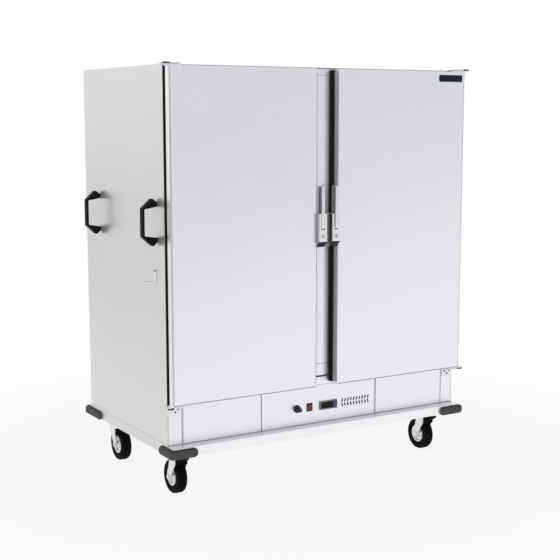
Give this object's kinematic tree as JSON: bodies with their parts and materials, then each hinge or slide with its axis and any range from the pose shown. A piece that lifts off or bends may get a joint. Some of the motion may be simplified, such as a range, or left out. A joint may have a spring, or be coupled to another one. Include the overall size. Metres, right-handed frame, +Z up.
{
  "type": "heated banquet cart",
  "caption": "Tall insulated stainless cart on swivel casters, with hinged doors, pull latches, push handles, wire shelves and a fan heater that keeps plated food hot.",
  "frame": {"origin": "on the floor under the centre of the cart's bounding box", "axes": "+X to the right as seen from the doors, +Y from the doors to the back, +Z up"},
  "size_m": [1.374, 0.79, 1.524],
  "materials": {
    "stainless": "satin",
    "liner_steel": "satin",
    "frame_steel": "satin",
    "bumper_grey": "matte",
    "caster_zinc": "satin",
    "pedal_black": "satin",
    "caster_rim": "satin",
    "tyre_black": "matte",
    "insulation_wool": "matte",
    "gasket_black": "matte",
    "latch_chrome": "polished",
    "hinge_steel": "satin",
    "handle_black": "satin",
    "control_black": "satin",
    "rocker_red": "gloss",
    "controller_grey": "satin",
    "window_black": "gloss",
    "badge_navy": "satin",
    "heater_steel": "matte",
    "motor_grey": "satin",
    "fan_aluminium": "satin",
    "post_aluminium": "satin",
    "shelf_chrome": "polished"
  },
  "bodies": {
    "cabinet": {"left_side_panel": "stainless", "right_side_panel": "stainless", "back_panel": "stainless", "top_panel": "stainless", "front_frame": "stainless", "mullion_cover": "stainless", "service_panels": "stainless", "control_panel": "stainless", "floor_pan": "liner_steel", "inner_liner": "liner_steel", "air_cover": "liner_steel", "base_frame": "frame_steel", "base_deck": "frame_steel", "corner_bumpers": "bumper_grey", "caster_plates": "caster_zinc", "insulation": "insulation_wool", "hinge_brackets": "hinge_steel", "cabinet_screws": "hinge_steel", "cord_hook": "hinge_steel", "push_handles": "handle_black", "switch_frame": "control_black", "power_inlet": "control_black", "controller_case": "controller_grey", "controller_window": "window_black", "heater_element": "heater_steel", "fan_motor": "motor_grey", "shelf_posts": "post_aluminium", "wire_shelves": "shelf_chrome"},
    "left_door": {"left_door_skin": "stainless", "left_door_inner_skin": "liner_steel", "left_door_core": "insulation_wool", "left_door_gasket": "gasket_black", "left_latch_housing": "latch_chrome"},
    "left_lever": {"left_latch_lever": "latch_chrome"},
    "left_lock": {"left_lock_cylinder": "latch_chrome"},
    "right_door": {"right_door_skin": "stainless", "right_door_inner_skin": "liner_steel", "right_door_core": "insulation_wool", "right_door_gasket": "gasket_black", "right_latch_housing": "latch_chrome", "badge_plate": "badge_navy"},
    "right_lever": {"right_latch_lever": "latch_chrome"},
    "right_lock": {"right_lock_cylinder": "latch_chrome"},
    "front_left_caster": {"front_left_fork": "caster_zinc"},
    "front_left_wheel": {"front_left_rim": "caster_rim", "front_left_tyre": "tyre_black"},
    "front_right_caster": {"front_right_fork": "caster_zinc"},
    "front_right_wheel": {"front_right_rim": "caster_rim", "front_right_tyre": "tyre_black"},
    "rear_left_caster": {"rear_left_fork": "caster_zinc"},
    "rear_left_wheel": {"rear_left_rim": "caster_rim", "rear_left_tyre": "tyre_black"},
    "rear_right_caster": {"rear_right_fork": "caster_zinc"},
    "rear_right_wheel": {"rear_right_rim": "caster_rim", "rear_right_tyre": "tyre_black"},
    "front_left_brake": {"front_left_brake_pedal": "pedal_black"},
    "front_right_brake": {"front_right_brake_pedal": "pedal_black"},
    "regulator": {"regulator_knob": "control_black"},
    "rocker": {"switch_rocker": "rocker_red"},
    "fan": {"fan_impeller": "fan_aluminium"}
  },
  "joints": [
    {"name": "left_door_hinge", "type": "hinge", "parent": "cabinet", "child": "left_door", "pos_m": [-0.638, -0.36275, 0.356], "axis": [0, 0, -1], "range_deg": [0, 225]},
    {"name": "left_lever_pivot", "type": "hinge", "parent": "left_door", "child": "left_lever", "pos_m": [-0.02875, -0.383, 0.9495], "axis": [1, 0, 0], "range_deg": [0, 30], "stiffness_Nm_per_rad": 1.2, "springref_deg": -8.59},
    {"name": "left_lock_turn", "type": "hinge", "parent": "left_door", "child": "left_lock", "pos_m": [-0.02875, -0.393, 0.9125], "axis": [0, 1, 0], "range_deg": [0, 90]},
    {"name": "right_door_hinge", "type": "hinge", "parent": "cabinet", "child": "right_door", "pos_m": [0.638, -0.36275, 0.356], "axis": [0, 0, 1], "range_deg": [0, 225]},
    {"name": "right_lever_pivot", "type": "hinge", "parent": "right_door", "child": "right_lever", "pos_m": [0.02875, -0.383, 0.9495], "axis": [1, 0, 0], "range_deg": [0, 30], "stiffness_Nm_per_rad": 1.2, "springref_deg": -8.59},
    {"name": "right_lock_turn", "type": "hinge", "parent": "right_door", "child": "right_lock", "pos_m": [0.02875, -0.393, 0.9125], "axis": [0, 1, 0], "range_deg": [0, 90]},
    {"name": "front_left_swivel", "type": "hinge", "parent": "cabinet", "child": "front_left_caster", "pos_m": [-0.556, -0.274, 0.1465], "axis": [0, 0, 1], "continuous": true},
    {"name": "front_left_spin", "type": "hinge", "parent": "front_left_caster", "child": "front_left_wheel", "pos_m": [-0.556, -0.236, 0.0625], "axis": [1, 0, 0], "continuous": true},
    {"name": "front_left_brake_pivot", "type": "hinge", "parent": "front_left_caster", "child": "front_left_brake", "pos_m": [-0.556, -0.272, 0.1335], "axis": [1, 0, 0], "range_deg": [0, 17]},
    {"name": "front_right_swivel", "type": "hinge", "parent": "cabinet", "child": "front_right_caster", "pos_m": [0.556, -0.274, 0.1465], "axis": [0, 0, 1], "continuous": true},
    {"name": "front_right_spin", "type": "hinge", "parent": "front_right_caster", "child": "front_right_wheel", "pos_m": [0.556, -0.236, 0.0625], "axis": [1, 0, 0], "continuous": true},
    {"name": "front_right_brake_pivot", "type": "hinge", "parent": "front_right_caster", "child": "front_right_brake", "pos_m": [0.556, -0.272, 0.1335], "axis": [1, 0, 0], "range_deg": [0, 17]},
    {"name": "rear_left_swivel", "type": "hinge", "parent": "cabinet", "child": "rear_left_caster", "pos_m": [-0.556, 0.286, 0.1465], "axis": [0, 0, 1], "continuous": true},
    {"name": "rear_left_spin", "type": "hinge", "parent": "rear_left_caster", "child": "rear_left_wheel", "pos_m": [-0.556, 0.248, 0.0625], "axis": [1, 0, 0], "continuous": true},
    {"name": "rear_right_swivel", "type": "hinge", "parent": "cabinet", "child": "rear_right_caster", "pos_m": [0.556, 0.286, 0.1465], "axis": [0, 0, 1], "continuous": true},
    {"name": "rear_right_spin", "type": "hinge", "parent": "rear_right_caster", "child": "rear_right_wheel", "pos_m": [0.556, 0.248, 0.0625], "axis": [1, 0, 0], "continuous": true},
    {"name": "regulator_turn", "type": "hinge", "parent": "cabinet", "child": "regulator", "pos_m": [-0.101, -0.334, 0.269], "axis": [0, 1, 0], "range_deg": [0, 270]},
    {"name": "rocker_tilt", "type": "hinge", "parent": "cabinet", "child": "rocker", "pos_m": [-0.0465, -0.331, 0.269], "axis": [-1, 0, 0], "range_deg": [0, 18]},
    {"name": "fan_spin", "type": "hinge", "parent": "cabinet", "child": "fan", "pos_m": [0, 0.007, 0.405], "axis": [0, 0, 1], "continuous": true}
  ]
}
